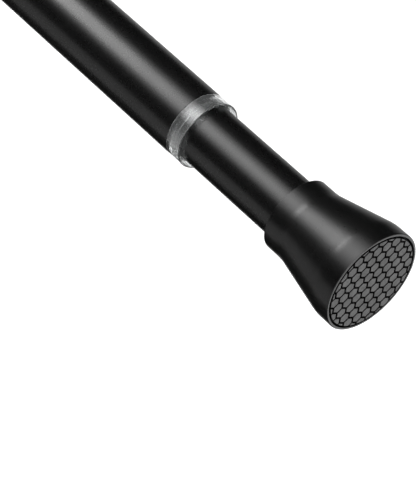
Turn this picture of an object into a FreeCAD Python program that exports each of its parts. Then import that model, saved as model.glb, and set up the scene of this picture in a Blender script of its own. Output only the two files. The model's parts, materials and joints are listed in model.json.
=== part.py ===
# Spring tension rod: one thick centre tube with a slimmer tube sliding in each end.
# Each slim tube carries a flared foot with a honeycomb rubber pad.
# The left tube is pushed out by a coil spring, and the right tube telescopes and twist-locks.
# The rod's axis is +X and the origin is the middle of the left pad's face. Millimetres.
import FreeCAD, Part
import math
import os
import Sketcher

doc = FreeCAD.newDocument("spring_tension_rod")
sheet = doc.addObject("Spreadsheet::Sheet", "dims")
X_AXIS = FreeCAD.Vector(1, 0, 0)
Z_AXIS = FreeCAD.Vector(0, 0, 1)


class Size:
    """A length that keeps its number and the sheet expression that it comes from."""

    def __init__(self, value, text):
        self.value = value
        self.text = text

    def __add__(self, other):
        return Size(self.value + as_size(other).value, f"({self.text} + {as_size(other).text})")

    def __sub__(self, other):
        return Size(self.value - as_size(other).value, f"({self.text} - {as_size(other).text})")

    def __mul__(self, factor):
        return Size(self.value * factor, f"({self.text} * {factor})")

    def __truediv__(self, factor):
        return Size(self.value / factor, f"({self.text} / {factor})")


def as_size(number):
    """Let a plain number stand where a Size is expected."""
    return number if isinstance(number, Size) else Size(float(number), str(number))


next_row = 1


def dimension(alias, number):
    """Write one driving dimension into the sheet and return it as a Size."""
    global next_row
    sheet.set(f"A{next_row}", alias)
    sheet.set(f"B{next_row}", str(number))
    sheet.setAlias(f"B{next_row}", alias)
    next_row += 1
    return Size(float(number), f"dims.{alias}")


ZERO = Size(0.0, "0")

# Tubes
outer_tube_diameter = dimension("outer_tube_diameter", 22.2)
outer_tube_wall = dimension("outer_tube_wall", 0.8)
outer_tube_length = dimension("outer_tube_length", 330)
slim_tube_wall = dimension("slim_tube_wall", 0.8)
right_tube_length = dimension("right_tube_length", 225)

# Fits: a sliding or seated pair, and the play at an end stop
fit_gap = dimension("fit_gap", 0.05)
stop_gap = dimension("stop_gap", 0.3)

# Honeycomb pads
pad_diameter = dimension("pad_diameter", 29.6)
pad_gap = dimension("pad_gap", 0.55)
pad_base = dimension("pad_base", 1.2)
pad_proud = dimension("pad_proud", 0.05)
cell_pitch = dimension("cell_pitch", 3.43)
cell_groove = dimension("cell_groove", 0.5)
cell_height = dimension("cell_height", 1.0)

# Flared feet
rim_diameter = dimension("rim_diameter", 32.6)
rim_width = dimension("rim_width", 5.8)
rim_chamfer = dimension("rim_chamfer", 0.3)
cone_length = dimension("cone_length", 19.5)
collar_wall = dimension("collar_wall", 1.2)
collar_length = dimension("collar_length", 6.35)
collar_gap = dimension("collar_gap", 1.2)
foot_floor = dimension("foot_floor", 2.4)

# Foot screws and the tube plugs that they bite into
screw_diameter = dimension("screw_diameter", 4.0)
screw_head_diameter = dimension("screw_head_diameter", 7.6)
screw_head_height = dimension("screw_head_height", 2.4)
screw_length = dimension("screw_length", 14)
plug_length = dimension("plug_length", 18)

# Clear guide rings in the mouths of the outer tube
ring_flange_length = dimension("ring_flange_length", 5.55)
ring_edge = dimension("ring_edge", 0.5)
ring_sleeve_length = dimension("ring_sleeve_length", 24)
ring_sleeve_wall = dimension("ring_sleeve_wall", 0.7)
slim_tube_exposed = dimension("slim_tube_exposed", 38.85)

# Spring end
plunger_spigot_length = dimension("plunger_spigot_length", 12)
plunger_head_length = dimension("plunger_head_length", 8)
spring_length = dimension("spring_length", 62)
spring_gap = dimension("spring_gap", 1.05)
spring_wire = dimension("spring_wire", 1.8)
spring_turns = dimension("spring_turns", 5)
seat_length = dimension("seat_length", 12)

# Twist lock at the inner end of the right tube
lock_offset = dimension("lock_offset", 0.6)
spindle_spigot_length = dimension("spindle_spigot_length", 14)
journal_step = dimension("journal_step", 1.65)
crank_step = dimension("crank_step", 1.5)
bush_length = dimension("bush_length", 8)
cam_length = dimension("cam_length", 12)
cam_clearance = dimension("cam_clearance", 0.5)
cam_slit = dimension("cam_slit", 2.0)
washer_diameter = dimension("washer_diameter", 15.0)
washer_thickness = dimension("washer_thickness", 1.0)
lock_screw_length = dimension("lock_screw_length", 12)
doc.recompute()

# Proportions of a hexagon lattice: point to flat, column step to pitch, and slant of a row
HEX_POINT = 2 / math.sqrt(3)
HEX_COLUMN = math.sqrt(3) / 2
ROW_SLANT = math.radians(30)

# How far the right pad lies turned in its foot, in degrees
RIGHT_PAD_TURN = -23.6

# Radii and bores that several pieces share
outer_radius = outer_tube_diameter / 2
outer_bore = outer_radius - outer_tube_wall
inside_outer = outer_bore - fit_gap
over_slim = inside_outer - ring_sleeve_wall
slim_radius = over_slim - fit_gap
slim_bore = slim_radius - slim_tube_wall
inside_slim = slim_bore - fit_gap
screw_radius = screw_diameter / 2
spring_radius = outer_bore - spring_gap

# Stations along each end, measured inwards from its pad's face
pad_seat = pad_base + cell_height
screw_head_seat = pad_seat + stop_gap + screw_head_height
tube_seat = screw_head_seat + foot_floor
rim_end = pad_proud + rim_width
cone_end = rim_end + cone_length
collar_end = cone_end + collar_length
ring_front = collar_end + slim_tube_exposed
ring_back = ring_front + ring_flange_length
sleeve_end = ring_back + ring_sleeve_length

# Stations along the whole rod
spring_front = sleeve_end + stop_gap + plunger_head_length
seat_front = spring_front + spring_length
rod_length = ring_back * 2 + outer_tube_length
left_tube_length = sleeve_end + stop_gap - tube_seat

# Stations of the twist lock, measured inwards from the right pad's face
right_tube_end = tube_seat + right_tube_length
journal_end = right_tube_end + bush_length + stop_gap * 2
crank_length = cam_length + stop_gap * 2
crank_end = journal_end + crank_length
journal_radius = inside_slim - journal_step
crank_radius = journal_radius - crank_step
lock_screw_start = rod_length - crank_end - washer_thickness - screw_head_height


def new_body(label):
    """Make an empty body and name it after its piece."""
    body = doc.addObject("PartDesign::Body", label)
    body.Label = label
    return body


def origin_plane(body, role):
    """Find one of a body's own origin planes or axes by its role."""
    return [item for item in body.Origin.OriginFeatures if item.Role == role][0]


def new_sketch(body, name, role):
    """Attach an empty sketch to one of the body's origin planes."""
    sketch = body.newObject("Sketcher::SketchObject", name)
    sketch.AttachmentSupport = [(origin_plane(body, role), "")]
    sketch.MapMode = "FlatFace"
    return sketch


def fix_point(sketch, edge, end, across, up):
    """Hold one sketch point at two sheet sizes from the sketch's origin."""
    for kind, size, axis in (("DistanceX", across, -2), ("DistanceY", up, -1)):
        if size is ZERO:
            sketch.addConstraint(Sketcher.Constraint("PointOnObject", edge, end, axis))
        else:
            index = sketch.addConstraint(Sketcher.Constraint(kind, -1, 1, edge, end, size.value))
            sketch.setExpression(f"Constraints[{index}]", size.text)


def draw_outline(sketch, points):
    """Draw a closed outline of straight lines through points given as pairs of Sizes."""
    spots = [FreeCAD.Vector(across.value, up.value, 0) for across, up in points]
    count = len(spots)
    for index in range(count):
        line = Part.LineSegment(spots[index], spots[(index + 1) % count])
        sketch.addGeometry(line, False)
    for index in range(count):
        following = (index + 1) % count
        sketch.addConstraint(Sketcher.Constraint("Coincident", index, 2, following, 1))
    for index, (across, up) in enumerate(points):
        fix_point(sketch, index, 1, across, up)


def draw_circle(sketch, across, up, radius):
    """Draw a circle whose centre and radius follow the sheet."""
    middle = FreeCAD.Vector(across.value, up.value, 0)
    index = sketch.addGeometry(Part.Circle(middle, Z_AXIS, radius.value), False)
    fix_point(sketch, index, 3, across, up)
    held = sketch.addConstraint(Sketcher.Constraint("Radius", index, radius.value))
    sketch.setExpression(f"Constraints[{held}]", radius.text)


def revolve(body, name, points):
    """Turn an outline of (station, radius) points about the rod's axis."""
    sketch = new_sketch(body, name + "_outline", "XY_Plane")
    draw_outline(sketch, points)
    turned = body.newObject("PartDesign::Revolution", name)
    turned.Profile = sketch
    turned.ReferenceAxis = (sketch, ["H_Axis"])
    turned.Angle = 360
    return turned


def place_along(body, station, turned_round=False, roll=0):
    """Put a body at a station on the axis, facing the other way for the right end."""
    facing = FreeCAD.Rotation(Z_AXIS, 180 if turned_round else 0)
    body.Placement = FreeCAD.Placement(FreeCAD.Vector(), facing * FreeCAD.Rotation(X_AXIS, roll))
    if station is not ZERO:
        body.setExpression("Placement.Base.x", station.text)


def make_tube(label, radius, wall, start, length):
    """A plain drawn tube."""
    body = new_body(label)
    end = start + length
    inner = radius - wall
    revolve(body, label + "_wall", [(start, inner), (end, inner), (end, radius), (start, radius)])
    return body


def make_foot(label):
    """The flared foot: pad recess, screw floor, tube socket and a wider collar mouth."""
    body = new_body(label)
    rim = rim_diameter / 2
    recess = pad_diameter / 2 + pad_gap
    head_room = screw_head_diameter / 2 + stop_gap
    hole = screw_radius + fit_gap
    mouth = slim_radius + collar_gap
    collar = mouth + collar_wall
    points = [
        (pad_proud, recess),
        (pad_proud, rim - rim_chamfer),
        (pad_proud + rim_chamfer, rim),
        (rim_end, rim),
        (cone_end, collar),
        (collar_end, collar),
        (collar_end, mouth),
        (cone_end, mouth),
        (cone_end, over_slim),
        (tube_seat, over_slim),
        (tube_seat, hole),
        (screw_head_seat, hole),
        (screw_head_seat, head_room),
        (pad_seat, head_room),
        (pad_seat, recess),
    ]
    revolve(body, label + "_shell", points)
    return body


def cross_sketch(body, name, station):
    """Start a sketch square to the axis at a station, with Y across and Z up."""
    sketch = new_sketch(body, name, "YZ_Plane")
    if station is not ZERO:
        sketch.AttachmentOffset = FreeCAD.Placement(Z_AXIS * station.value, FreeCAD.Rotation())
        sketch.setExpression("AttachmentOffset.Base.z", station.text)
    return sketch


def extrude(body, name, kind, sketch, length):
    """Pad or pocket a cross sketch by a sheet length, both ways along +X."""
    feature = body.newObject("PartDesign::" + kind, name)
    feature.Profile = sketch
    feature.setExpression("Length", length.text)
    feature.Reversed = kind == "Pocket"
    body.Tip = feature
    return feature


def make_pad(label):
    """A rubber disc with a field of hexagonal cells standing on its face."""
    body = new_body(label)
    cell_flat = (cell_pitch - cell_groove) / 2
    cell_point = cell_flat * HEX_POINT
    column_step = cell_pitch * HEX_COLUMN
    reach = pad_diameter.value / 2 + cell_point.value
    rings = math.ceil(reach / column_step.value)

    # The first cell stands at the corner of a slanted block of rows and columns
    across = column_step * -rings
    up = cell_pitch * (-1.5 * rings)
    corners = [(1, 0), (0.5, 1), (-0.5, 1), (-1, 0), (-0.5, -1), (0.5, -1)]
    cell = cross_sketch(body, label + "_cell_outline", ZERO)
    draw_outline(cell, [(across + cell_point * u, up + cell_flat * v) for u, v in corners])
    row_end = FreeCAD.Vector(math.cos(ROW_SLANT), math.sin(ROW_SLANT), 0)
    row = cell.addGeometry(Part.LineSegment(FreeCAD.Vector(), row_end), True)
    cell.addConstraint(Sketcher.Constraint("Coincident", row, 1, -1, 1))
    cell.addConstraint(Sketcher.Constraint("Angle", -1, 1, row, 1, ROW_SLANT))
    cell.addConstraint(Sketcher.Constraint("Distance", row, row_end.Length))
    first = extrude(body, label + "_cell", "Pad", cell, pad_seat)
    doc.recompute()

    field = body.newObject("PartDesign::LinearPattern", label + "_cells")
    field.Originals = [first]
    field.Direction = (cell, ["V_Axis"])
    field.Direction2 = (cell, ["Axis0"])
    field.Mode = "Spacing"
    field.Mode2 = "Spacing"
    field.setExpression("Offset", cell_pitch.text)
    field.setExpression("Offset2", cell_pitch.text)
    field.Occurrences = 2 * rings + 1
    field.Occurrences2 = 2 * rings + 1
    body.Tip = field
    doc.recompute()

    # Cells are trimmed to the round pad, then joined by the disc behind them
    trim = cross_sketch(body, label + "_trim_outline", ZERO)
    draw_circle(trim, ZERO, ZERO, pad_diameter / 2)
    draw_circle(trim, ZERO, ZERO, cell_pitch * (2 * rings + 1))
    extrude(body, label + "_trim", "Pocket", trim, pad_seat)
    disc = cross_sketch(body, label + "_disc_outline", cell_height)
    draw_circle(disc, ZERO, ZERO, pad_diameter / 2)
    extrude(body, label + "_disc", "Pad", disc, pad_base)
    return body


def make_screw(label, start, length):
    """A pan-head screw with its head towards lower stations."""
    body = new_body(label)
    head = screw_head_diameter / 2
    under_head = start + screw_head_height
    tip = under_head + length
    points = [
        (start, ZERO),
        (tip, ZERO),
        (tip, screw_radius),
        (under_head, screw_radius),
        (under_head, head),
        (start, head),
    ]
    revolve(body, label + "_turned", points)
    return body


def make_tube_plug(label):
    """The plug in the tube's outer end, bored for the foot's screw."""
    body = new_body(label)
    end = tube_seat + plug_length
    hole = screw_radius + fit_gap
    points = [(tube_seat, hole), (end, hole), (end, inside_slim), (tube_seat, inside_slim)]
    revolve(body, label + "_turned", points)
    return body


def make_ring(label):
    """The clear ring: a flange flush with the outer tube and a sleeve inside its mouth."""
    body = new_body(label)
    points = [
        (ring_front, over_slim),
        (ring_front, outer_radius - ring_edge),
        (ring_front + ring_edge, outer_radius),
        (ring_back, outer_radius),
        (ring_back, inside_outer),
        (sleeve_end, inside_outer),
        (sleeve_end, over_slim),
    ]
    revolve(body, label + "_turned", points)
    return body


def make_plunger_head():
    """The stopper in the left tube's inner end that the spring pushes on."""
    body = new_body("plunger_head")
    head_start = sleeve_end + stop_gap
    spigot_start = head_start - plunger_spigot_length
    points = [
        (spigot_start, ZERO),
        (spring_front, ZERO),
        (spring_front, inside_outer),
        (head_start, inside_outer),
        (head_start, inside_slim),
        (spigot_start, inside_slim),
    ]
    revolve(body, "plunger_head_turned", points)
    return body


def make_spring():
    """An open coil spring with both ends ground flat."""
    coil = new_body("spring_coil")
    wire = new_sketch(coil, "spring_wire_outline", "XY_Plane")
    middle = spring_radius - spring_wire / 2
    half = spring_wire / 2
    corners = [(1, 1), (-1, 1), (-1, -1), (1, -1)]
    draw_outline(wire, [(spring_front + half * u, middle + half * v) for u, v in corners])
    helix = coil.newObject("PartDesign::AdditiveHelix", "spring_helix")
    helix.Profile = wire
    helix.ReferenceAxis = (wire, ["H_Axis"])
    helix.Mode = "height-turns-angle"
    helix.setExpression("Height", spring_length.text)
    helix.setExpression("Turns", spring_turns.text)

    between_seats = doc.addObject("Part::Cylinder", "spring_between_seats")
    between_seats.setExpression("Radius", outer_radius.text)
    between_seats.setExpression("Height", spring_length.text)
    between_seats.Placement = FreeCAD.Placement(FreeCAD.Vector(), FreeCAD.Rotation(Z_AXIS, X_AXIS))
    between_seats.setExpression("Placement.Base.x", spring_front.text)
    spring = doc.addObject("Part::Common", "spring")
    spring.Base = coil
    spring.Tool = between_seats
    spring.Label = "spring"
    return spring


def make_spring_seat():
    """The plug pressed into the outer tube behind the spring."""
    body = new_body("spring_seat")
    end = seat_front + seat_length
    points = [(seat_front, ZERO), (end, ZERO), (end, inside_outer), (seat_front, inside_outer)]
    revolve(body, "spring_seat_turned", points)
    return body


def make_lock_spindle():
    """The lock's spindle: a spigot in the right tube, a round journal and an offset crank."""
    body = new_body("lock_spindle")
    spigot_start = right_tube_end - spindle_spigot_length
    points = [
        (spigot_start, ZERO),
        (journal_end, ZERO),
        (journal_end, journal_radius),
        (right_tube_end, journal_radius),
        (right_tube_end, inside_slim),
        (spigot_start, inside_slim),
    ]
    revolve(body, "lock_spindle_turned", points)
    crank = cross_sketch(body, "lock_crank_outline", journal_end)
    draw_circle(crank, ZERO, lock_offset, crank_radius)
    draw_circle(crank, ZERO, lock_offset, screw_radius + fit_gap)
    extrude(body, "lock_crank", "Pad", crank, crank_length)
    return body


def make_guide_bush():
    """The bush that keeps the right tube's inner end in the middle of the outer tube."""
    body = new_body("guide_bush")
    start = right_tube_end + stop_gap
    end = start + bush_length
    bore = journal_radius + fit_gap
    points = [(start, bore), (end, bore), (end, inside_outer), (start, inside_outer)]
    revolve(body, "guide_bush_turned", points)
    return body


def make_lock_cam():
    """The split collar on the crank, which turning pushes off centre against the outer tube."""
    body = new_body("lock_cam")
    collar = cross_sketch(body, "lock_cam_outline", journal_end + stop_gap)
    draw_circle(collar, ZERO, ZERO, outer_bore - cam_clearance)
    draw_circle(collar, ZERO, lock_offset, crank_radius + fit_gap)
    extrude(body, "lock_cam_collar", "Pad", collar, cam_length)
    doc.recompute()
    slit = cross_sketch(body, "lock_cam_slit_outline", journal_end + stop_gap)
    near = cam_slit / -2
    far = cam_slit / 2
    points = [(near, lock_offset), (far, lock_offset), (far, outer_bore), (near, outer_bore)]
    draw_outline(slit, points)
    extrude(body, "lock_cam_slit", "Pocket", slit, cam_length)
    return body


def make_lock_washer():
    """The flat washer that keeps the cam on its crank."""
    body = new_body("lock_washer")
    washer = cross_sketch(body, "lock_washer_outline", crank_end)
    draw_circle(washer, ZERO, lock_offset, washer_diameter / 2)
    draw_circle(washer, ZERO, lock_offset, screw_radius + fit_gap)
    extrude(body, "lock_washer_disc", "Pad", washer, washer_thickness)
    return body


def make_end(side, turned_round):
    """The pieces that both ends have, each at its own station from the pad's face."""
    tube_length = right_tube_length if turned_round else left_tube_length
    pad = make_pad(side + "_pad")
    others = [
        make_foot(side + "_foot"),
        make_screw(side + "_foot_screw", pad_seat + stop_gap, screw_length),
        make_tube_plug(side + "_tube_plug"),
        make_tube(side + "_tube", slim_radius, slim_tube_wall, tube_seat, tube_length),
        make_ring(side + "_ring"),
    ]
    station = rod_length if turned_round else ZERO
    place_along(pad, station, turned_round, RIGHT_PAD_TURN if turned_round else 0)
    for piece in others:
        place_along(piece, station, turned_round)
    return [pad] + others


def make_twist_lock():
    """The lock on the right tube's inner end."""
    turned = [make_lock_spindle(), make_guide_bush(), make_lock_cam(), make_lock_washer()]
    for piece in turned:
        place_along(piece, rod_length, True)
    screw = make_screw("lock_screw", ZERO, lock_screw_length)
    place_along(screw, lock_screw_start)
    screw.setExpression("Placement.Base.z", lock_offset.text)
    return turned + [screw]


def write_pieces(pieces):
    """Check every object of the document, then write each piece to its own file."""
    for item in doc.Objects:
        if "Invalid" in item.State or "Error" in item.State:
            raise RuntimeError(f"{item.Name} failed: {item.State}")
    for piece in pieces:
        shape = piece.Shape
        if shape.isNull() or not shape.isValid() or len(shape.Solids) != 1:
            raise RuntimeError(f"{piece.Label} is not one sound solid")
    os.makedirs("parts", exist_ok=True)
    for piece in pieces:
        piece.Shape.exportStep(f"parts/{piece.Label}.step")
        print(piece.Label, round(piece.Shape.Volume, 2))


rod = make_end("left", False) + make_end("right", True)
rod.append(make_tube("outer_tube", outer_radius, outer_tube_wall, ring_back, outer_tube_length))
rod += [make_plunger_head(), make_spring(), make_spring_seat()]
rod += make_twist_lock()
doc.recompute()
write_pieces(rod)
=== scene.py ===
import bmesh
import bpy
import json
import math
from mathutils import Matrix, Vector
from mathutils.geometry import intersect_line_sphere_2d


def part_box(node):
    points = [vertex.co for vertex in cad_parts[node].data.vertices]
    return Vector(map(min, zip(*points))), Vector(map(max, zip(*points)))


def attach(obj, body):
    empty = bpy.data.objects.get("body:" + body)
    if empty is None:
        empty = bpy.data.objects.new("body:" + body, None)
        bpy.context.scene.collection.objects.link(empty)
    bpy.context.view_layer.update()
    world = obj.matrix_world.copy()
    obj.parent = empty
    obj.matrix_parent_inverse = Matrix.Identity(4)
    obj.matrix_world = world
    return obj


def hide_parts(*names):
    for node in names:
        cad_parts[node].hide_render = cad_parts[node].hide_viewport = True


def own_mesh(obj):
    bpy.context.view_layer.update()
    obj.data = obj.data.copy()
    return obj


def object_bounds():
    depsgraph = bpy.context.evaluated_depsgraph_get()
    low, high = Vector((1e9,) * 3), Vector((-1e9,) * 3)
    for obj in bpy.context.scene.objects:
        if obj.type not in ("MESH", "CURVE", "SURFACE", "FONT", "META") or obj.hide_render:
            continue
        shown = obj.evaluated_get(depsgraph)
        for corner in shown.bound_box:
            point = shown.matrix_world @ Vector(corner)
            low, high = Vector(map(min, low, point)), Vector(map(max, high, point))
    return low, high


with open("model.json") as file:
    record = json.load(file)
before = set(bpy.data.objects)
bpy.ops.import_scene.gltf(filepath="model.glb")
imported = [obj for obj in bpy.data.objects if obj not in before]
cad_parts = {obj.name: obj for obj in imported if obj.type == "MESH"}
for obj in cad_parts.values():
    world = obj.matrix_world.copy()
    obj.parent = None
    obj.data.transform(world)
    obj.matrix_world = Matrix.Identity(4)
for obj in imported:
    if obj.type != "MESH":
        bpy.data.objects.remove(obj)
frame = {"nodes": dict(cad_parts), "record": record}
cad_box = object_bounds()
nodes = frame["nodes"]
rod_end = cad_box[1].x
middle = rod_end / 2

# Camera: the photograph's view, worked out from the right foot's rim and the two tubes' outlines
VIEW_AZIMUTH = math.radians(50.80)
VIEW_ELEVATION = math.radians(49.36)
LENS_MM = 174.1
SENSOR_MM = 36.0
AIM_SETBACK = 0.00035
CAMERA_DISTANCE = 0.65935
CAMERA_ACROSS = -0.04448
CAMERA_UP = 0.00869

# Floor and room
FLOOR_LEVEL = 0.85
FLOOR_DROP = 0.45
FLOOR_SIZE = 40.0
FLOOR_GLOW = 0.5
FLOOR_FAR_GLOW = 0.95
FLOOR_NEAR = 0.5
FLOOR_FAR = 2.5
ROOM_LEVEL = 0.06
HORIZON_WHITE = 0.12
HORIZON_DIM = 0.25

# Top softbox: strips of three widths above the rod, which add up to a soft-edged one
STRIP_HEIGHT = 1.0
STRIP_OFFSET = -0.17
STRIP_LENGTH = 2.8
STRIP_WIDTHS = (0.36, 0.80, 1.30)
STRIP_STEP = 0.01
STRIP_GLOW = 0.92

# Brighter patch of the top softbox, which glints on the soft blends of the feet
PATCH_SHIFT = -0.75
PATCH_OFFSET = -0.16
PATCH_LENGTH = 0.16
PATCH_WIDTH = 0.72
PATCH_GLOW = 10.5

# Fills at the two ends: they light the pads' faces and stay out of the tubes' reflections
FILL_DISTANCE = 1.3
FILL_HEIGHT = 0.35
FILL_SIZE = 0.9
FILL_GLOW = 2.85

# Dark studio cards along the rod, each with the degrees from +Y towards +Z that it covers
CARD_LENGTH = 4.0
CARD_LEVEL = 0.07
CARDS = {
    "far_card": {"degrees": (-7, 50), "distance": 0.6, "cover": 1.0},
    "near_card": {"degrees": (150, 182), "distance": 0.6, "cover": 1.0},
    "side_veil": {"degrees": (182, 221), "distance": 0.6, "cover": 0.58},
    "low_card": {"degrees": (221, 276), "distance": 0.18, "cover": 1.0},
}

# Sizes of the feet and rings that the solids' boxes don't give, in metres
RIM_WIDTH = 0.0058
LIP_WIDTH = 0.0008
COLLAR_LENGTH = 0.00635
COLLAR_GAP = 0.0012
COLLAR_WALL = 0.0012
HEAD_RADIUS = 0.0041
HEAD_SEAT = 0.0049
SCREW_HOLE = 0.00205
FIT_GAP = 0.00005
TUBE_WALL = 0.0008
RING_MOUTH_WALL = 0.0005
RING_MOUTH_DEPTH = 0.003
FLARE_BLEND = 0.012
RIM_ROUND = 0.0004
LIP_ROUND = 0.0001
EDGE_ROUND = 0.0002
RING_ROUND = 0.0003

# Honeycomb pads
PAD_GAP = 0.0006
PAD_STEPS = 288
CELL_PITCH = 0.00343
CELL_GROOVE = 0.0005
CELL_HEIGHT = 0.001
CELL_SOFT = 0.00012
CELL_SUNK = 0.0002
CELL_RINGS = 6
# Depths below a pad's face over which painted shade darkens its grooves
GROOVE_SHADE_START = 0.000006
GROOVE_SHADE_END = 0.00006
RIGHT_PAD_TURN = math.radians(-23.6)
HEX_POINT = 2 / math.sqrt(3)
HEX_COLUMN = math.sqrt(3) / 2
FLAT_ANGLE = math.radians(0.5)

# Coil spring
SPRING_TURNS = 5
WIRE_RADIUS = 0.0009
WIRE_SPOKES = 12
TURN_STEPS = 40

# Finishes that more than one material shares
EDGE_TINT = 0.52
CLEAR_COLOUR = (0.90, 0.92, 0.92, 1)
CLEAR_IOR = 1.46
GRAIN_DETAIL = 3.0
GRAIN_BUMP = 0.5
MOTTLE_DETAIL = 4.0
MOTTLE_LOW = 0.35
MOTTLE_HIGH = 0.65

# Fineness of the new meshes, and a length that only keeps faces apart when they are picked
SLIVER = 0.000002
LATHE_STEPS = 144
ARC_STEP = math.radians(7)
SHARP_ANGLE = math.radians(30)

# Sizes and places worked out from the left end's solids, which the right end mirrors
foot_low, foot_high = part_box("left_foot")
ring_low, ring_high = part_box("left_ring")
tube_low, tube_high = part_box("left_tube")
rim_start = foot_low.x
rim_end = rim_start + RIM_WIDTH
rim_radius = foot_high.y
recess_radius = rim_radius - LIP_WIDTH
collar_end = foot_high.x
collar_start = collar_end - COLLAR_LENGTH
mouth_radius = tube_high.y + COLLAR_GAP
collar_radius = mouth_radius + COLLAR_WALL
socket_radius = tube_high.y + FIT_GAP
socket_floor = tube_low.x
ring_front = ring_low.x
ring_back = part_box("outer_tube")[0].x
ring_radius = ring_high.y
ring_mouth_radius = ring_radius - RING_MOUTH_WALL
sleeve_end = ring_high.x
sleeve_radius = ring_radius - TUBE_WALL - FIT_GAP
pad_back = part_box("left_pad")[1].x
pad_radius = recess_radius - PAD_GAP
cell_flat = (CELL_PITCH - CELL_GROOVE) / 2


def grey(level):
    """A neutral colour of one linear level."""
    return (level, level, level, 1)


def add_camera():
    """Put the camera where the photograph was taken from."""
    right = Vector((math.cos(VIEW_AZIMUTH), math.sin(VIEW_AZIMUTH), 0))
    ahead = Vector((
        -math.sin(VIEW_AZIMUTH) * math.cos(VIEW_ELEVATION),
        math.cos(VIEW_AZIMUTH) * math.cos(VIEW_ELEVATION),
        -math.sin(VIEW_ELEVATION),
    ))
    up = right.cross(ahead)
    aim = Vector((rod_end - AIM_SETBACK, 0, 0))
    data = bpy.data.cameras.new("camera")
    data.lens = LENS_MM
    data.sensor_width = SENSOR_MM
    camera = bpy.data.objects.new("camera", data)
    bpy.context.scene.collection.objects.link(camera)
    camera.location = aim + right * CAMERA_ACROSS + up * CAMERA_UP - ahead * CAMERA_DISTANCE
    camera.rotation_euler = ahead.to_track_quat("-Z", "Y").to_euler()
    bpy.context.scene.camera = camera


def seen_directly(tree):
    """A value of 1 for camera, glossy and transmission rays, and 0 for the light on the object."""
    path = tree.nodes.new("ShaderNodeLightPath")
    value = path.outputs["Is Camera Ray"]
    for name in ("Is Glossy Ray", "Is Transmission Ray"):
        either = tree.nodes.new("ShaderNodeMath")
        either.operation = "MAXIMUM"
        tree.links.new(value, either.inputs[0])
        tree.links.new(path.outputs[name], either.inputs[1])
        value = either.outputs[0]
    return value


def add_floor():
    """A wide white floor that keeps the rod's soft shadow and stays white far from the lamps."""
    bpy.ops.mesh.primitive_plane_add(size=FLOOR_SIZE, location=(middle, 0, -FLOOR_DROP))
    floor = bpy.context.active_object
    floor.name = "floor"
    material = bpy.data.materials.new("floor_white")
    material.use_nodes = True
    tree = material.node_tree
    shader = tree.nodes["Principled BSDF"]
    shader.inputs["Base Color"].default_value = grey(FLOOR_LEVEL)
    shader.inputs["Roughness"].default_value = 1.0
    shader.inputs["Specular IOR Level"].default_value = 0.0
    shader.inputs["Emission Color"].default_value = grey(1.0)
    place = tree.nodes.new("ShaderNodeTexCoord")
    away = tree.nodes.new("ShaderNodeVectorMath")
    away.operation = "LENGTH"
    rise = tree.nodes.new("ShaderNodeMapRange")
    rise.inputs["From Min"].default_value = FLOOR_NEAR
    rise.inputs["From Max"].default_value = FLOOR_FAR
    rise.inputs["To Min"].default_value = FLOOR_GLOW
    rise.inputs["To Max"].default_value = FLOOR_FAR_GLOW
    glow = tree.nodes.new("ShaderNodeMath")
    glow.operation = "MULTIPLY"
    tree.links.new(place.outputs["Object"], away.inputs[0])
    tree.links.new(away.outputs["Value"], rise.inputs["Value"])
    tree.links.new(seen_directly(tree), glow.inputs[0])
    tree.links.new(rise.outputs["Result"], glow.inputs[1])
    tree.links.new(glow.outputs[0], shader.inputs["Emission Strength"])
    floor.data.materials.append(material)


def card_material(name, cover):
    """Dull black card, which lets some light through where its cover is below 1."""
    material = bpy.data.materials.new(name)
    material.use_nodes = True
    shader = material.node_tree.nodes["Principled BSDF"]
    shader.inputs["Base Color"].default_value = grey(CARD_LEVEL)
    shader.inputs["Roughness"].default_value = 1.0
    shader.inputs["Specular IOR Level"].default_value = 0.0
    shader.inputs["Alpha"].default_value = cover
    return material


def add_dark_cards():
    """Dark cards and a veil round the rod, seen only in its gloss, which keep its flanks black."""
    for name, card_at in CARDS.items():
        edges = []
        for degrees in card_at["degrees"]:
            y = card_at["distance"] * math.cos(math.radians(degrees))
            z = card_at["distance"] * math.sin(math.radians(degrees))
            edges.append([(middle - CARD_LENGTH / 2, y, z), (middle + CARD_LENGTH / 2, y, z)])
        mesh = bpy.data.meshes.new(name)
        mesh.from_pydata(edges[0] + edges[1], [], [(0, 1, 3, 2)])
        mesh.materials.append(card_material(name, card_at["cover"]))
        card = bpy.data.objects.new(name, mesh)
        bpy.context.scene.collection.objects.link(card)
        card.visible_camera = False
        card.visible_diffuse = False
        card.visible_transmission = False
        card.visible_shadow = False


def add_world():
    """A dim room that is white only along the horizon, where it carries the floor on."""
    world = bpy.data.worlds.new("room")
    world.use_nodes = True
    bpy.context.scene.world = world
    tree = world.node_tree
    background = tree.nodes["Background"]
    background.inputs["Color"].default_value = grey(1.0)
    place = tree.nodes.new("ShaderNodeTexCoord")
    split = tree.nodes.new("ShaderNodeSeparateXYZ")
    fade = tree.nodes.new("ShaderNodeMapRange")
    fade.inputs["From Min"].default_value = HORIZON_WHITE
    fade.inputs["From Max"].default_value = HORIZON_DIM
    fade.inputs["To Min"].default_value = 1.0
    fade.inputs["To Max"].default_value = ROOM_LEVEL
    tree.links.new(place.outputs["Generated"], split.inputs["Vector"])
    tree.links.new(split.outputs["Z"], fade.inputs["Value"])
    tree.links.new(fade.outputs["Result"], background.inputs["Strength"])


def add_softbox(name, location, target, length, width, glow):
    """A rectangular area lamp of a given brightness that the camera doesn't see."""
    data = bpy.data.lights.new(name, "AREA")
    data.shape = "RECTANGLE"
    data.size = length
    data.size_y = width
    data.energy = glow * math.pi * length * width
    lamp = bpy.data.objects.new(name, data)
    bpy.context.scene.collection.objects.link(lamp)
    lamp.location = location
    lamp.rotation_euler = (Vector(target) - Vector(location)).to_track_quat("-Z", "Y").to_euler()
    lamp.visible_camera = False


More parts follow.
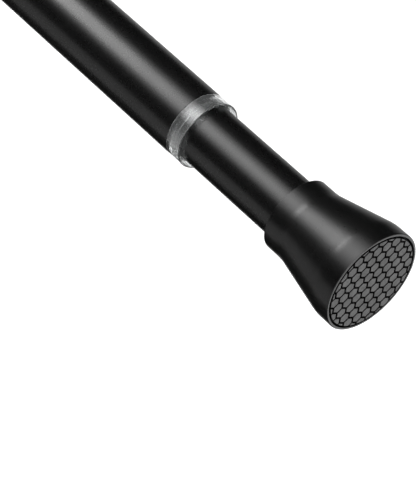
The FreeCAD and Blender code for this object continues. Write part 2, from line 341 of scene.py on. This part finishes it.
def add_lights():
    """The soft strips and the bright patch over the rod, and a fill in front of each pad."""
    for index, width in enumerate(STRIP_WIDTHS):
        place = (middle, STRIP_OFFSET, STRIP_HEIGHT + STRIP_STEP * index)
        add_softbox(f"top_strip_{index}", place, (middle, 0, 0), STRIP_LENGTH, width, STRIP_GLOW)
    place = (middle + PATCH_SHIFT, PATCH_OFFSET, STRIP_HEIGHT - STRIP_STEP)
    add_softbox("top_patch", place, (middle + PATCH_SHIFT, 0, 0), PATCH_LENGTH, PATCH_WIDTH, PATCH_GLOW)
    place = (rod_end + FILL_DISTANCE, 0, FILL_HEIGHT)
    add_softbox("right_fill", place, (rod_end, 0, 0), FILL_SIZE, FILL_SIZE, FILL_GLOW)
    place = (-FILL_DISTANCE, 0, FILL_HEIGHT)
    add_softbox("left_fill", place, (0, 0, 0), FILL_SIZE, FILL_SIZE, FILL_GLOW)


def grained(name, grain, roughness, relief, stretch=(1, 1, 1)):
    """A principled material whose roughness and fine relief come from one noise in object space."""
    material = bpy.data.materials.new(name)
    material.use_nodes = True
    tree = material.node_tree
    shader = tree.nodes["Principled BSDF"]
    place = tree.nodes.new("ShaderNodeTexCoord")
    mapping = tree.nodes.new("ShaderNodeMapping")
    mapping.inputs["Scale"].default_value = stretch
    noise = tree.nodes.new("ShaderNodeTexNoise")
    noise.inputs["Scale"].default_value = grain
    noise.inputs["Detail"].default_value = GRAIN_DETAIL
    spread = tree.nodes.new("ShaderNodeMapRange")
    spread.inputs["To Min"].default_value = roughness[0]
    spread.inputs["To Max"].default_value = roughness[1]
    bump = tree.nodes.new("ShaderNodeBump")
    bump.inputs["Strength"].default_value = GRAIN_BUMP
    bump.inputs["Distance"].default_value = relief
    tree.links.new(place.outputs["Object"], mapping.inputs["Vector"])
    tree.links.new(mapping.outputs["Vector"], noise.inputs["Vector"])
    tree.links.new(noise.outputs["Fac"], spread.inputs["Value"])
    tree.links.new(spread.outputs["Result"], shader.inputs["Roughness"])
    tree.links.new(noise.outputs["Fac"], bump.inputs["Height"])
    tree.links.new(bump.outputs["Normal"], shader.inputs["Normal"])
    return material, shader


def mottle(material, shader, scale, dark, light):
    """Let the base colour drift softly between two tones, and return the colour's socket."""
    tree = material.node_tree
    place = tree.nodes.new("ShaderNodeTexCoord")
    noise = tree.nodes.new("ShaderNodeTexNoise")
    noise.inputs["Scale"].default_value = scale
    noise.inputs["Detail"].default_value = MOTTLE_DETAIL
    ramp = tree.nodes.new("ShaderNodeValToRGB")
    ramp.color_ramp.elements[0].position = MOTTLE_LOW
    ramp.color_ramp.elements[0].color = dark
    ramp.color_ramp.elements[1].position = MOTTLE_HIGH
    ramp.color_ramp.elements[1].color = light
    tree.links.new(place.outputs["Object"], noise.inputs["Vector"])
    tree.links.new(noise.outputs["Fac"], ramp.inputs["Fac"])
    tree.links.new(ramp.outputs["Color"], shader.inputs["Base Color"])
    return ramp.outputs["Color"]


def paint_groove_shade(material, shader, face_colour, painted_groove_shade):
    """Painted shade in a pad's grooves: let its colour fall to black a little way below its face, at
    either end of the rod.
    """
    tree = material.node_tree
    place = tree.nodes.new("ShaderNodeTexCoord")
    split = tree.nodes.new("ShaderNodeSeparateXYZ")
    from_middle = tree.nodes.new("ShaderNodeMath")
    from_middle.operation = "SUBTRACT"
    from_middle.inputs[1].default_value = middle
    reach = tree.nodes.new("ShaderNodeMath")
    reach.operation = "ABSOLUTE"
    rise = tree.nodes.new("ShaderNodeMapRange")
    rise.inputs["From Min"].default_value = middle - GROOVE_SHADE_END
    rise.inputs["From Max"].default_value = middle - GROOVE_SHADE_START
    blend = tree.nodes.new("ShaderNodeMix")
    blend.data_type = "RGBA"
    blend.inputs["A"].default_value = painted_groove_shade
    tree.links.new(place.outputs["Object"], split.inputs["Vector"])
    tree.links.new(split.outputs["X"], from_middle.inputs[0])
    tree.links.new(from_middle.outputs[0], reach.inputs[0])
    tree.links.new(reach.outputs[0], rise.inputs["Value"])
    tree.links.new(rise.outputs["Result"], blend.inputs["Factor"])
    tree.links.new(face_colour, blend.inputs["B"])
    tree.links.new(blend.outputs["Result"], shader.inputs["Base Color"])


def make_materials():
    """One material for each of the record's slots, and those of the lip and the ring's edges."""
    made = {}

    paint, shader = grained("satin_black_paint", grain=900, roughness=(0.25, 0.31), relief=0.000006)
    shader.inputs["Metallic"].default_value = 1.0
    shader.inputs["Specular Tint"].default_value = grey(EDGE_TINT)
    mottle(paint, shader, scale=60, dark=grey(0.058), light=grey(0.064))
    made["tube_paint"] = paint

    moulding, shader = grained("black_moulding", grain=1400, roughness=(0.25, 0.33), relief=0.000006)
    shader.inputs["Metallic"].default_value = 1.0
    shader.inputs["Specular Tint"].default_value = grey(EDGE_TINT)
    mottle(moulding, shader, scale=80, dark=grey(0.053), light=grey(0.059))
    made["foot_plastic"] = moulding

    lip, shader = grained("black_lip", grain=1400, roughness=(0.25, 0.33), relief=0.00002)
    shader.inputs["IOR"].default_value = 1.6
    mottle(lip, shader, scale=80, dark=grey(0.010), light=grey(0.014))
    made["foot_lip"] = lip

    rubber, shader = grained("grey_rubber", grain=1800, roughness=(0.70, 0.90), relief=0.00006)
    shader.inputs["Specular IOR Level"].default_value = 0.05
    face = mottle(rubber, shader, scale=240, dark=grey(0.135), light=grey(0.17))
    # Painted shade: the grooves between the cells fall to black
    paint_groove_shade(rubber, shader, face, painted_groove_shade=grey(0.004))
    made["pad_rubber"] = rubber

    clear, shader = grained(
        "clear_plastic", grain=900, roughness=(0.08, 0.14), relief=0.000004, stretch=(1, 0.06, 0.06),
    )
    shader.inputs["Base Color"].default_value = CLEAR_COLOUR
    shader.inputs["Transmission Weight"].default_value = 0.95
    shader.inputs["IOR"].default_value = CLEAR_IOR
    shader.inputs["Coat Weight"].default_value = 0.8
    shader.inputs["Coat Roughness"].default_value = 0.2
    shader.inputs["Coat IOR"].default_value = 1.65
    made["ring_clear"] = clear

    front, shader = grained("clear_front", grain=900, roughness=(0.02, 0.05), relief=0.000002)
    shader.inputs["Base Color"].default_value = CLEAR_COLOUR
    shader.inputs["Transmission Weight"].default_value = 1.0
    shader.inputs["IOR"].default_value = CLEAR_IOR
    made["ring_front"] = front

    # Frostier edge of the clear plastic: partly the moulding's own whiter edge, partly a painted
    # highlight for the light line along it
    edge, shader = grained("clear_edge_frost_and_highlight", grain=900, roughness=(0.10, 0.20), relief=0.000005)
    shader.inputs["Base Color"].default_value = CLEAR_COLOUR
    shader.inputs["Transmission Weight"].default_value = 0.70
    shader.inputs["IOR"].default_value = CLEAR_IOR
    made["ring_edge"] = edge

    inner, shader = grained("white_moulding", grain=700, roughness=(0.40, 0.55), relief=0.00003)
    mottle(inner, shader, scale=90, dark=(0.55, 0.55, 0.53, 1), light=(0.62, 0.62, 0.60, 1))
    made["inner_plastic"] = inner

    steel, shader = grained(
        "bright_steel", grain=1500, roughness=(0.22, 0.38), relief=0.00001, stretch=(0.1, 1, 1),
    )
    shader.inputs["Metallic"].default_value = 1.0
    mottle(steel, shader, scale=150, dark=(0.55, 0.55, 0.56, 1), light=(0.64, 0.64, 0.65, 1))
    made["steel"] = steel
    return made


def dress_nodes():
    """Give every CAD node the finish of its slot in the record."""
    for piece in frame["record"]["subparts"]:
        slots = nodes[piece["node"]].data.materials
        slots.clear()
        slots.append(finishes[piece["material_slot"]])


def rounded(corners):
    """Turn a closed outline of (station, radius, rounding) corners into points, with arcs for corners."""
    points = []
    count = len(corners)
    for index, (station, radius, rounding) in enumerate(corners):
        corner = Vector((station, radius))
        if rounding == 0:
            points.append(corner)
            continue
        back = (Vector(corners[index - 1][:2]) - corner).normalized()
        onward = (Vector(corners[(index + 1) % count][:2]) - corner).normalized()
        opening = back.angle(onward)
        along = rounding / math.tan(opening / 2)
        centre = corner + (back + onward).normalized() * (rounding / math.sin(opening / 2))
        first = corner + back * along - centre
        last = corner + onward * along - centre
        turn = math.pi - opening
        steps = max(2, math.ceil(turn / ARC_STEP))
        for step in range(steps + 1):
            share = step / steps
            points.append(centre + first.lerp(last, share).normalized() * rounding)
    return points


def lathe(name, corners, right_end):
    """A closed smooth solid of revolution about the rod's axis, for its left or right end."""
    outline = rounded(corners)
    shape = bmesh.new()
    hoops = []
    for point in outline:
        x = rod_end - point.x if right_end else point.x
        hoop = []
        for step in range(LATHE_STEPS):
            turn = 2 * math.pi * step / LATHE_STEPS
            hoop.append(shape.verts.new((x, point.y * math.cos(turn), point.y * math.sin(turn))))
        hoops.append(hoop)
    for index, hoop in enumerate(hoops):
        following = hoops[(index + 1) % len(hoops)]
        for step in range(LATHE_STEPS):
            beside = (step + 1) % LATHE_STEPS
            shape.faces.new((hoop[step], hoop[beside], following[beside], following[step]))
    return finish_mesh(name, shape)


def finish_mesh(name, shape):
    """Turn a bmesh into a linked object with outward normals, smooth but for its sharp edges."""
    bmesh.ops.recalc_face_normals(shape, faces=shape.faces)
    mesh = bpy.data.meshes.new(name)
    shape.to_mesh(mesh)
    shape.free()
    mesh.shade_smooth()
    mesh.set_sharp_from_angle(angle=SHARP_ANGLE)
    piece = bpy.data.objects.new(name, mesh)
    bpy.context.scene.collection.objects.link(piece)
    return piece


def dress(piece, slot, body, node):
    """Give a new piece its finish and its body, and let it stand for a CAD node."""
    piece.data.materials.append(finishes[slot])
    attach(piece, body)
    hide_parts(node)


def cell_outline(y, z, flat, limit):
    """Points round one hexagonal cell, as far as it lies inside a circle about the axis."""
    shares = [(1, 0), (0.5, 1), (-0.5, 1), (-1, 0), (-0.5, -1), (0.5, -1)]
    corners = [Vector((y + flat * HEX_POINT * u, z + flat * v)) for u, v in shares]
    points = [corner for corner in corners if corner.length <= limit]
    if len(points) == len(corners):
        return points
    for first, second in zip(corners, corners[1:] + corners[:1]):
        hits = intersect_line_sphere_2d(first, second, Vector((0, 0)), limit)
        points += [hit for hit in hits if hit is not None]
    for step in range(PAD_STEPS):
        turn = 2 * math.pi * step / PAD_STEPS
        spot = Vector((limit * math.cos(turn), limit * math.sin(turn)))
        across = abs(spot.x - y)
        up = abs(spot.y - z)
        if up < flat and across * HEX_COLUMN + up / 2 < flat:
            points.append(spot)
    return points


def add_hull(shape, layers, right_end):
    """Add the hull of some flat outlines, each given with its depth behind the pad's face."""
    verts = []
    for outline, depth in layers:
        for y, z in outline:
            if right_end:
                turned_y = z * math.sin(RIGHT_PAD_TURN) - y * math.cos(RIGHT_PAD_TURN)
                turned_z = y * math.sin(RIGHT_PAD_TURN) + z * math.cos(RIGHT_PAD_TURN)
                verts.append(shape.verts.new((rod_end - depth, turned_y, turned_z)))
            else:
                verts.append(shape.verts.new((depth, y, z)))
    made = bmesh.ops.convex_hull(shape, input=verts)
    left_over = made["geom_interior"] + made["geom_unused"]
    spare = {item for item in left_over if isinstance(item, bmesh.types.BMVert)}
    bmesh.ops.delete(shape, geom=list(spare), context="VERTS")


def add_pad(side, right_end, body):
    """The rubber pad: a disc and a field of soft-edged hexagonal cells trimmed to it."""
    shape = bmesh.new()
    circle = []
    for step in range(PAD_STEPS):
        turn = 2 * math.pi * step / PAD_STEPS
        circle.append((pad_radius * math.cos(turn), pad_radius * math.sin(turn)))
    add_hull(shape, [(circle, CELL_HEIGHT), (circle, pad_back)], right_end)
    for column in range(-CELL_RINGS, CELL_RINGS + 1):
        for row in range(-2 * CELL_RINGS, 2 * CELL_RINGS + 1):
            y = column * CELL_PITCH * HEX_COLUMN
            z = (row + column / 2) * CELL_PITCH
            top = cell_outline(y, z, cell_flat - CELL_SOFT, pad_radius - CELL_SOFT)
            side_wall = cell_outline(y, z, cell_flat, pad_radius)
            if len(top) < 3:
                continue
            layers = [(top, 0), (side_wall, CELL_SOFT), (side_wall, CELL_HEIGHT + CELL_SUNK)]
            add_hull(shape, layers, right_end)
    bmesh.ops.dissolve_limit(shape, angle_limit=FLAT_ANGLE, verts=shape.verts, edges=shape.edges)
    pad = finish_mesh(side + "_honeycomb_pad", shape)
    dress(pad, "pad_rubber", body, side + "_pad")


def paint_between(piece, finish, right_end, start, end):
    """Give another finish to the faces of a turned piece between two stations."""
    piece.data.materials.append(finishes[finish])
    index = len(piece.data.materials) - 1
    for face in piece.data.polygons:
        station = rod_end - face.center.x if right_end else face.center.x
        if start < station < end:
            face.material_index = index


def add_foot(side, right_end, body):
    """The flared foot with its soft blends and rounded lips."""
    corners = [
        (rim_start, recess_radius, LIP_ROUND),
        (rim_start, rim_radius, RIM_ROUND),
        (rim_end, rim_radius, FLARE_BLEND),
        (collar_start, collar_radius, FLARE_BLEND),
        (collar_end, collar_radius, EDGE_ROUND),
        (collar_end, mouth_radius, EDGE_ROUND),
        (collar_start, mouth_radius, 0),
        (collar_start, socket_radius, 0),
        (socket_floor, socket_radius, 0),
        (socket_floor, SCREW_HOLE, 0),
        (HEAD_SEAT, SCREW_HOLE, 0),
        (HEAD_SEAT, HEAD_RADIUS, 0),
        (pad_back, HEAD_RADIUS, 0),
        (pad_back, recess_radius, 0),
    ]
    foot = lathe(side + "_foot_moulding", corners, right_end)
    dress(foot, "foot_plastic", body, side + "_foot")
    paint_between(foot, "foot_lip", right_end, 0, rim_start + LIP_ROUND)


def add_ring(side, right_end):
    """The clear guide ring with a thin open mouth and rounded flange edges."""
    corners = [
        (ring_front + RING_MOUTH_DEPTH, socket_radius, 0),
        (ring_front + RING_MOUTH_DEPTH, ring_mouth_radius, 0),
        (ring_front, ring_mouth_radius, LIP_ROUND),
        (ring_front, ring_radius, RING_ROUND),
        (ring_back, ring_radius, RING_ROUND),
        (ring_back, sleeve_radius, 0),
        (sleeve_end, sleeve_radius, 0),
        (sleeve_end, socket_radius, 0),
    ]
    ring = lathe(side + "_guide_ring", corners, right_end)
    dress(ring, "ring_clear", "outer_body", side + "_ring")
    paint_between(ring, "ring_front", right_end, ring_front - SLIVER, ring_front + RING_ROUND / 2)
    # Back edge: partly frostier moulding, partly a painted highlight for the light line along it
    paint_between(ring, "ring_edge", right_end, ring_back - RING_ROUND, ring_back - SLIVER)


def add_spring():
    """A round-wire coil spring between its two seats."""
    low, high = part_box("spring")
    start = low.x + WIRE_RADIUS
    length = high.x - low.x - 2 * WIRE_RADIUS
    coil_radius = high.y - WIRE_RADIUS
    steps = SPRING_TURNS * TURN_STEPS
    shape = bmesh.new()
    hoops = []
    for step in range(steps + 1):
        share = step / steps
        turn = 2 * math.pi * SPRING_TURNS * share
        outward = Vector((0, math.cos(turn), math.sin(turn)))
        centre = Vector((start + length * share, 0, 0)) + outward * coil_radius
        hoop = []
        for spoke in range(WIRE_SPOKES):
            angle = 2 * math.pi * spoke / WIRE_SPOKES
            offset = outward * math.cos(angle) + Vector((1, 0, 0)) * math.sin(angle)
            hoop.append(shape.verts.new(centre + offset * WIRE_RADIUS))
        hoops.append(hoop)
    for hoop, following in zip(hoops, hoops[1:]):
        for spoke in range(WIRE_SPOKES):
            beside = (spoke + 1) % WIRE_SPOKES
            shape.faces.new((hoop[spoke], hoop[beside], following[beside], following[spoke]))
    shape.faces.new(hoops[0])
    shape.faces.new(hoops[-1])
    spring = finish_mesh("coil_spring", shape)
    dress(spring, "steel", "fixed_end", "spring")
    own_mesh(spring)


bpy.context.scene.view_settings.view_transform = "Standard"
add_camera()
add_floor()
add_dark_cards()
add_world()
add_lights()
finishes = make_materials()
dress_nodes()
add_foot("left", False, "fixed_end")
add_foot("right", True, "moving_end")
add_pad("left", False, "fixed_end")
add_pad("right", True, "moving_end")
add_ring("left", False)
add_ring("right", True)
add_spring()
